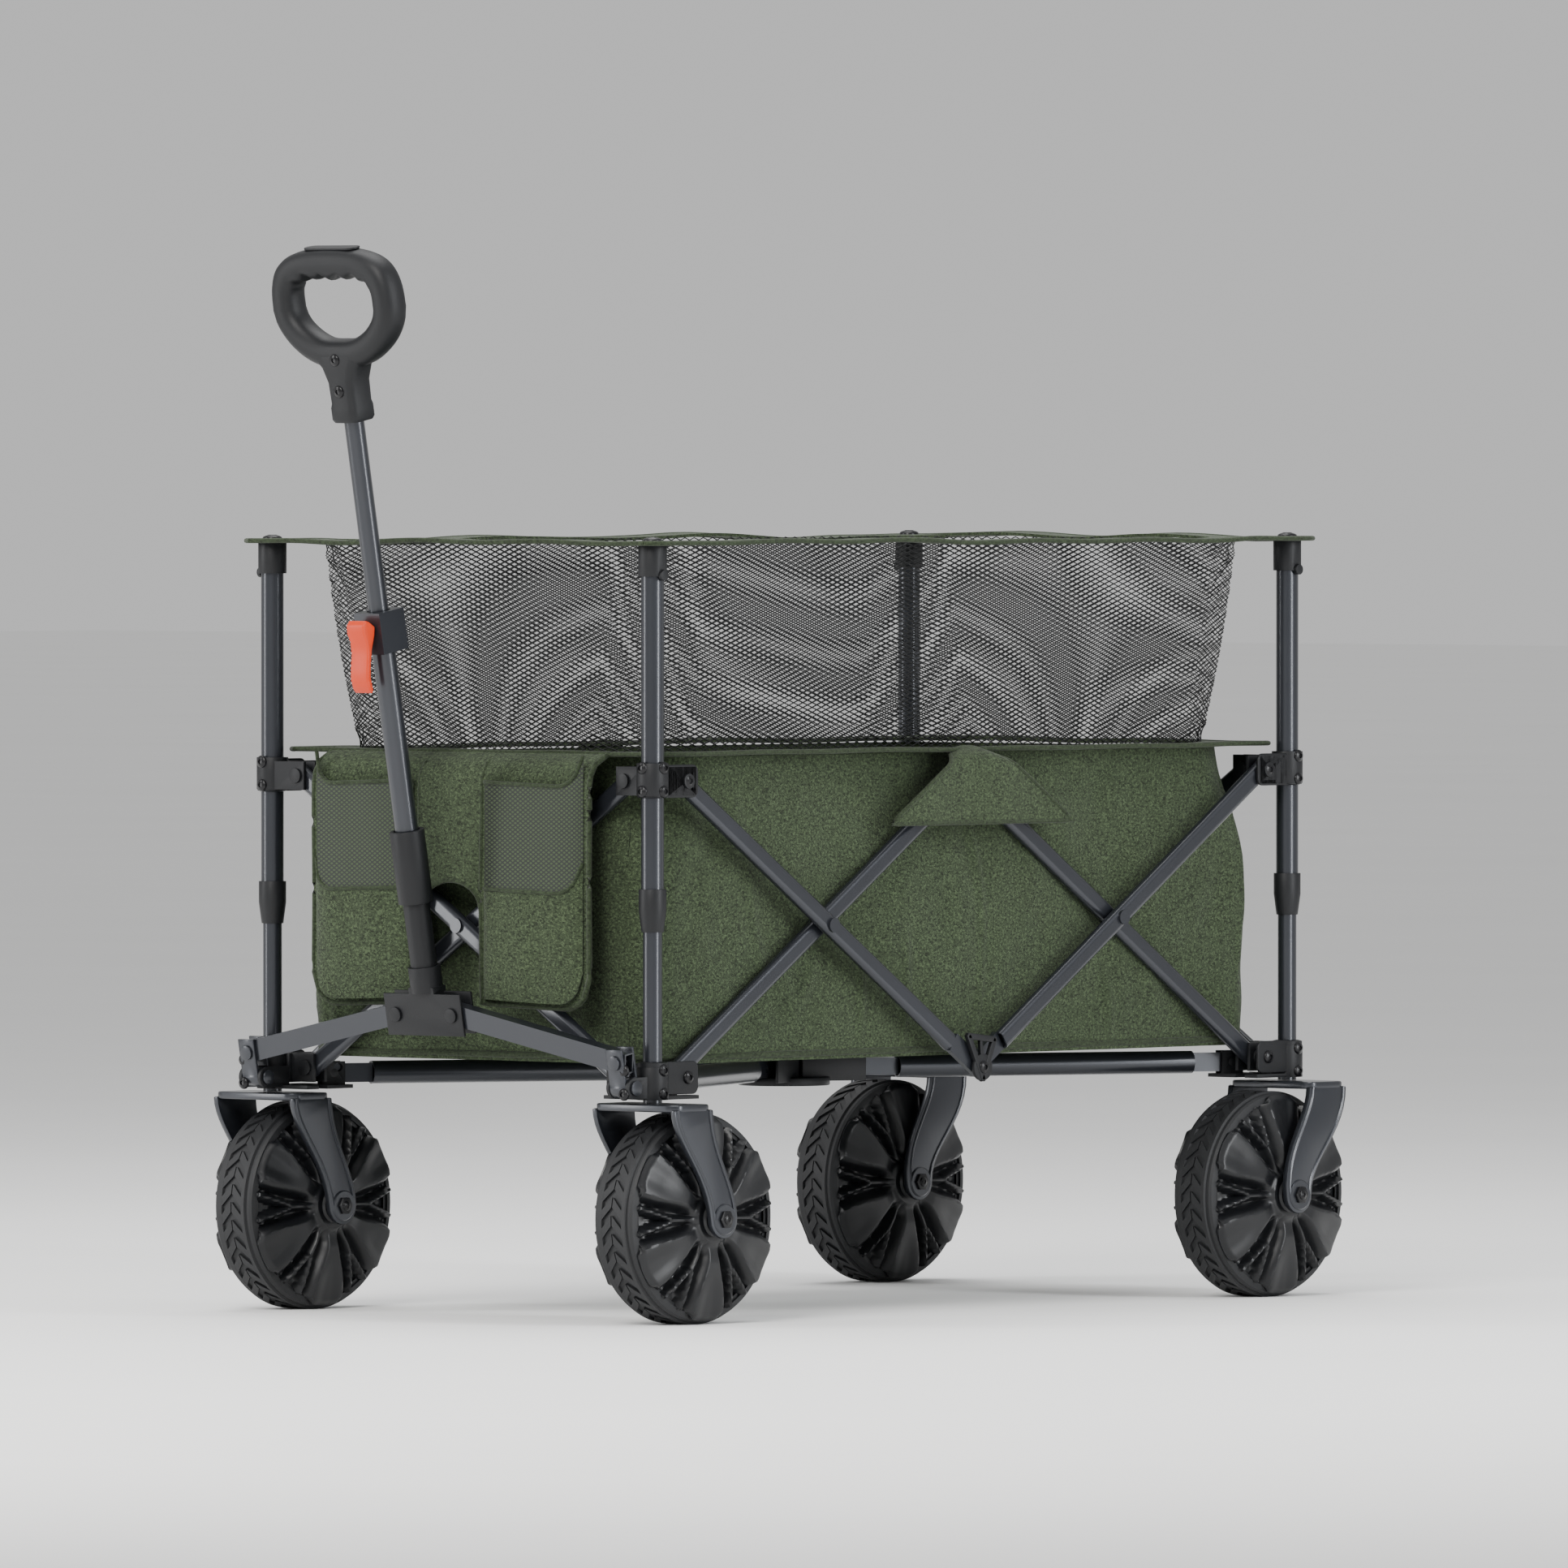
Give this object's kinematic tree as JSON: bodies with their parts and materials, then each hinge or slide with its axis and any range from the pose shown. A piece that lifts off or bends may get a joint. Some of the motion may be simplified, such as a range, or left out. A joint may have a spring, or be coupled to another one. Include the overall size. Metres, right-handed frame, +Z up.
{
  "type": "folding wagon",
  "caption": "Folding scissor-frame wagon with fabric and net basket, swivel front wheels, front pocket panel and telescopic pull handle on a tilting yoke.",
  "frame": {"origin": "on the floor under the middle of the whole object, handle included", "axes": "+Z up, the handle end faces -Y, +X is the side with the near corners"},
  "size_m": [0.61, 1.1484, 1.0087],
  "materials": {
    "frame_metal": "satin",
    "dark_plastic": "matte",
    "wheel_plastic": "satin",
    "tread": "matte",
    "olive_fabric": "matte",
    "lever_orange": "satin"
  },
  "bodies": {
    "near_front_corner": {"near_front_lower_post": "frame_metal", "near_front_lower_bracket": "dark_plastic"},
    "near_front_upper": {"near_front_upper_post": "frame_metal", "near_front_upper_bracket": "dark_plastic", "near_front_post_fittings": "dark_plastic"},
    "near_front_inner_bar": {"near_front_inner_bar": "frame_metal"},
    "near_front_outer_bar": {"near_front_outer_bar": "frame_metal"},
    "near_front_end_bar": {"near_front_end_bar": "frame_metal"},
    "near_front_strut": {"near_front_floor_strut": "frame_metal"},
    "near_front_caster": {"near_front_fork": "dark_plastic"},
    "near_front_wheel": {"near_front_wheel_core": "wheel_plastic", "near_front_tyre": "tread"},
    "near_rear_corner": {"near_rear_lower_post": "frame_metal", "near_rear_lower_bracket": "dark_plastic", "near_rear_fork": "dark_plastic"},
    "near_rear_upper": {"near_rear_upper_post": "frame_metal", "near_rear_upper_bracket": "dark_plastic", "near_rear_post_fittings": "dark_plastic"},
    "near_rear_inner_bar": {"near_rear_inner_bar": "frame_metal"},
    "near_rear_outer_bar": {"near_rear_outer_bar": "frame_metal"},
    "near_rear_end_bar": {"near_rear_end_bar": "frame_metal"},
    "near_rear_strut": {"near_rear_floor_strut": "frame_metal"},
    "near_rear_wheel": {"near_rear_wheel_core": "wheel_plastic", "near_rear_tyre": "tread"},
    "far_front_corner": {"far_front_lower_post": "frame_metal", "far_front_lower_bracket": "dark_plastic"},
    "far_front_upper": {"far_front_upper_post": "frame_metal", "far_front_upper_bracket": "dark_plastic", "far_front_post_fittings": "dark_plastic"},
    "far_front_inner_bar": {"far_front_inner_bar": "frame_metal"},
    "far_front_outer_bar": {"far_front_outer_bar": "frame_metal"},
    "far_front_end_bar": {"far_front_end_bar": "frame_metal"},
    "far_front_strut": {"far_front_floor_strut": "frame_metal"},
    "far_front_caster": {"far_front_fork": "dark_plastic"},
    "far_front_wheel": {"far_front_wheel_core": "wheel_plastic", "far_front_tyre": "tread"},
    "far_rear_corner": {"far_rear_lower_post": "frame_metal", "far_rear_lower_bracket": "dark_plastic", "far_rear_fork": "dark_plastic"},
    "far_rear_upper": {"far_rear_upper_post": "frame_metal", "far_rear_upper_bracket": "dark_plastic", "far_rear_post_fittings": "dark_plastic"},
    "far_rear_inner_bar": {"far_rear_inner_bar": "frame_metal"},
    "far_rear_outer_bar": {"far_rear_outer_bar": "frame_metal"},
    "far_rear_end_bar": {"far_rear_end_bar": "frame_metal"},
    "far_rear_strut": {"far_rear_floor_strut": "frame_metal"},
    "far_rear_wheel": {"far_rear_wheel_core": "wheel_plastic", "far_rear_tyre": "tread"},
    "floor": {"floor_hub": "dark_plastic", "basket": "olive_fabric", "pocket_panel": "olive_fabric"},
    "near_clevis": {"near_yoke_clevis": "dark_plastic"},
    "near_yoke_bar": {"near_yoke_bar": "frame_metal"},
    "far_clevis": {"far_yoke_clevis": "dark_plastic"},
    "far_yoke_bar": {"far_yoke_bar": "frame_metal"},
    "yoke": {"yoke_hub": "frame_metal"},
    "handle_middle": {"handle_middle_tube": "frame_metal"},
    "handle_top": {"handle_upper_tube": "frame_metal", "handle_grip": "dark_plastic"},
    "lever": {"clamp_lever": "lever_orange"}
  },
  "joints": [
    {"name": "fold", "type": "hinge", "parent": "near_front_corner", "child": "near_front_inner_bar", "pos_m": [0.233, -0.34427, 0.2306], "axis": [1, 0, 0], "range_deg": [0, 42]},
    {"name": "near_front_scissor", "type": "hinge", "parent": "near_front_inner_bar", "child": "near_front_outer_bar", "pos_m": [0.246, -0.13852, 0.3691], "axis": [1, 0, 0], "range_deg": [-84, 0]},
    {"name": "near_front_post_lift", "type": "hinge", "parent": "near_front_outer_bar", "child": "near_front_upper", "pos_m": [0.246, -0.34427, 0.5076], "axis": [1, 0, 0], "range_deg": [0, 42]},
    {"name": "near_top_centre", "type": "hinge", "parent": "near_front_inner_bar", "child": "near_rear_inner_bar", "pos_m": [0.233, 0.06723, 0.5076], "axis": [1, 0, 0], "range_deg": [-84, 0]},
    {"name": "near_rear_bar_foot", "type": "hinge", "parent": "near_rear_inner_bar", "child": "near_rear_corner", "pos_m": [0.233, 0.47873, 0.2306], "axis": [1, 0, 0], "range_deg": [0, 42]},
    {"name": "near_rear_scissor", "type": "hinge", "parent": "near_rear_inner_bar", "child": "near_rear_outer_bar", "pos_m": [0.246, 0.27298, 0.3691], "axis": [1, 0, 0], "range_deg": [0, 84]},
    {"name": "near_rear_post_lift", "type": "hinge", "parent": "near_rear_outer_bar", "child": "near_rear_upper", "pos_m": [0.246, 0.47873, 0.5076], "axis": [1, 0, 0], "range_deg": [-42, 0]},
    {"name": "near_front_end_fold", "type": "hinge", "parent": "near_front_corner", "child": "near_front_end_bar", "pos_m": [0.20575, -0.38277, 0.2306], "axis": [0, 1, 0], "range_deg": [0, 42]},
    {"name": "front_end_scissor", "type": "hinge", "parent": "near_front_end_bar", "child": "far_front_end_bar", "pos_m": [0, -0.38277, 0.3691], "axis": [0, 1, 0], "range_deg": [-84, 0]},
    {"name": "far_front_bar_foot", "type": "hinge", "parent": "far_front_end_bar", "child": "far_front_corner", "pos_m": [-0.20575, -0.38277, 0.2306], "axis": [0, 1, 0], "range_deg": [0, 42]},
    {"name": "far_front_side_fold", "type": "hinge", "parent": "far_front_corner", "child": "far_front_inner_bar", "pos_m": [-0.233, -0.34427, 0.2306], "axis": [1, 0, 0], "range_deg": [0, 42]},
    {"name": "far_front_scissor", "type": "hinge", "parent": "far_front_inner_bar", "child": "far_front_outer_bar", "pos_m": [-0.246, -0.13852, 0.3691], "axis": [1, 0, 0], "range_deg": [-84, 0]},
    {"name": "far_front_post_lift", "type": "hinge", "parent": "far_front_outer_bar", "child": "far_front_upper", "pos_m": [-0.246, -0.34427, 0.5076], "axis": [1, 0, 0], "range_deg": [0, 42]},
    {"name": "far_top_centre", "type": "hinge", "parent": "far_front_inner_bar", "child": "far_rear_inner_bar", "pos_m": [-0.233, 0.06723, 0.5076], "axis": [1, 0, 0], "range_deg": [-84, 0]},
    {"name": "far_rear_bar_foot", "type": "hinge", "parent": "far_rear_inner_bar", "child": "far_rear_corner", "pos_m": [-0.233, 0.47873, 0.2306], "axis": [1, 0, 0], "range_deg": [0, 42]},
    {"name": "far_rear_scissor", "type": "hinge", "parent": "far_rear_inner_bar", "child": "far_rear_outer_bar", "pos_m": [-0.246, 0.27298, 0.3691], "axis": [1, 0, 0], "range_deg": [0, 84]},
    {"name": "far_rear_post_lift", "type": "hinge", "parent": "far_rear_outer_bar", "child": "far_rear_upper", "pos_m": [-0.246, 0.47873, 0.5076], "axis": [1, 0, 0], "range_deg": [-42, 0]},
    {"name": "near_rear_end_fold", "type": "hinge", "parent": "near_rear_corner", "child": "near_rear_end_bar", "pos_m": [0.20575, 0.51723, 0.2306], "axis": [0, 1, 0], "range_deg": [0, 42]},
    {"name": "far_rear_end_fold", "type": "hinge", "parent": "far_rear_corner", "child": "far_rear_end_bar", "pos_m": [-0.20575, 0.51723, 0.2306], "axis": [0, 1, 0], "range_deg": [-42, 0]},
    {"name": "near_front_strut_lift", "type": "hinge", "parent": "near_front_corner", "child": "near_front_strut", "pos_m": [0.20575, -0.34427, 0.225], "axis": [0.8944, 0.4472, 0], "range_deg": [0, 80.46]},
    {"name": "near_rear_strut_lift", "type": "hinge", "parent": "near_rear_corner", "child": "near_rear_strut", "pos_m": [0.20575, 0.47873, 0.225], "axis": [-0.8944, 0.4472, 0], "range_deg": [0, 80.46]},
    {"name": "far_front_strut_lift", "type": "hinge", "parent": "far_front_corner", "child": "far_front_strut", "pos_m": [-0.20575, -0.34427, 0.225], "axis": [0.8944, -0.4472, 0], "range_deg": [0, 80.46]},
    {"name": "far_rear_strut_lift", "type": "hinge", "parent": "far_rear_corner", "child": "far_rear_strut", "pos_m": [-0.20575, 0.47873, 0.225], "axis": [-0.8944, -0.4472, 0], "range_deg": [0, 80.46]},
    {"name": "floor_rise", "type": "slide", "parent": "near_front_corner", "child": "floor", "axis": [0.2888, -0.5777, 0.7635], "range_m": [0, 0.50384], "deforming": ["basket", "pocket_panel"]},
    {"name": "handle_tilt", "type": "hinge", "parent": "near_front_corner", "child": "near_clevis", "pos_m": [0.238, -0.41277, 0.222], "axis": [1, 0, 0], "range_deg": [-4, 80]},
    {"name": "far_handle_tilt", "type": "hinge", "parent": "far_front_corner", "child": "far_clevis", "pos_m": [-0.238, -0.41277, 0.222], "axis": [1, 0, 0], "range_deg": [-4, 80]},
    {"name": "near_yoke_swing", "type": "hinge", "parent": "near_clevis", "child": "near_yoke_bar", "pos_m": [0.238, -0.4174, 0.24698], "axis": [0, 0.9833, 0.1822], "range_deg": [0, 62.5]},
    {"name": "far_yoke_swing", "type": "hinge", "parent": "far_clevis", "child": "far_yoke_bar", "pos_m": [-0.238, -0.4174, 0.24698], "axis": [0, 0.9833, 0.1822], "range_deg": [-62.5, 0]},
    {"name": "yoke_level", "type": "hinge", "parent": "near_yoke_bar", "child": "yoke", "pos_m": [0.0357, -0.42492, 0.28758], "axis": [0, 0.9833, 0.1822], "range_deg": [-62.5, 0]},
    {"name": "handle_middle_slide", "type": "slide", "parent": "yoke", "child": "handle_middle", "axis": [0, -0.1822, 0.9833], "range_m": [-0.02, 0.07]},
    {"name": "handle_top_slide", "type": "slide", "parent": "handle_middle", "child": "handle_top", "axis": [0, -0.1822, 0.9833], "range_m": [-0.165, 0.1]},
    {"name": "clamp_lever_flip", "type": "hinge", "parent": "handle_middle", "child": "lever", "pos_m": [0, -0.51409, 0.65071], "axis": [-1, 0, 0], "range_deg": [0, 75]},
    {"name": "near_front_swivel", "type": "hinge", "parent": "near_front_corner", "child": "near_front_caster", "pos_m": [0.246, -0.38277, 0.2], "axis": [0, 0, 1], "continuous": true},
    {"name": "near_front_wheel_spin", "type": "hinge", "parent": "near_front_caster", "child": "near_front_wheel", "pos_m": [0.246, -0.34077, 0.099], "axis": [1, 0, 0], "continuous": true},
    {"name": "near_rear_wheel_spin", "type": "hinge", "parent": "near_rear_corner", "child": "near_rear_wheel", "pos_m": [0.246, 0.47523, 0.099], "axis": [1, 0, 0], "continuous": true},
    {"name": "far_front_swivel", "type": "hinge", "parent": "far_front_corner", "child": "far_front_caster", "pos_m": [-0.246, -0.38277, 0.2], "axis": [0, 0, 1], "continuous": true},
    {"name": "far_front_wheel_spin", "type": "hinge", "parent": "far_front_caster", "child": "far_front_wheel", "pos_m": [-0.246, -0.34077, 0.099], "axis": [1, 0, 0], "continuous": true},
    {"name": "far_rear_wheel_spin", "type": "hinge", "parent": "far_rear_corner", "child": "far_rear_wheel", "pos_m": [-0.246, 0.47523, 0.099], "axis": [1, 0, 0], "continuous": true}
  ],
  "couplings": [
    {"joint": "near_front_scissor", "follows": "fold", "ratio": -2},
    {"joint": "near_front_post_lift", "follows": "fold", "ratio": 1},
    {"joint": "near_top_centre", "follows": "fold", "ratio": -2},
    {"joint": "near_rear_bar_foot", "follows": "fold", "ratio": 1},
    {"joint": "near_rear_scissor", "follows": "fold", "ratio": 2},
    {"joint": "near_rear_post_lift", "follows": "fold", "ratio": -1},
    {"joint": "near_front_end_fold", "follows": "fold", "ratio": 1},
    {"joint": "front_end_scissor", "follows": "fold", "ratio": -2},
    {"joint": "far_front_bar_foot", "follows": "fold", "ratio": 1},
    {"joint": "far_front_side_fold", "follows": "fold", "ratio": 1},
    {"joint": "far_front_scissor", "follows": "fold", "ratio": -2},
    {"joint": "far_front_post_lift", "follows": "fold", "ratio": 1},
    {"joint": "far_top_centre", "follows": "fold", "ratio": -2},
    {"joint": "far_rear_bar_foot", "follows": "fold", "ratio": 1},
    {"joint": "far_rear_scissor", "follows": "fold", "ratio": 2},
    {"joint": "far_rear_post_lift", "follows": "fold", "ratio": -1},
    {"joint": "near_rear_end_fold", "follows": "fold", "ratio": 1},
    {"joint": "far_rear_end_fold", "follows": "fold", "ratio": -1},
    {"joint": "near_front_strut_lift", "follows": "fold", "ratio": 1.9156},
    {"joint": "near_rear_strut_lift", "follows": "fold", "ratio": 1.9156},
    {"joint": "far_front_strut_lift", "follows": "fold", "ratio": 1.9156},
    {"joint": "far_rear_strut_lift", "follows": "fold", "ratio": 1.9156},
    {"joint": "floor_rise", "follows": "fold", "m_per_rad": 0.68733},
    {"joint": "far_handle_tilt", "follows": "handle_tilt", "ratio": 1},
    {"joint": "near_yoke_swing", "follows": "fold", "ratio": 1.4881},
    {"joint": "far_yoke_swing", "follows": "fold", "ratio": -1.4881},
    {"joint": "yoke_level", "follows": "fold", "ratio": -1.4881}
  ]
}
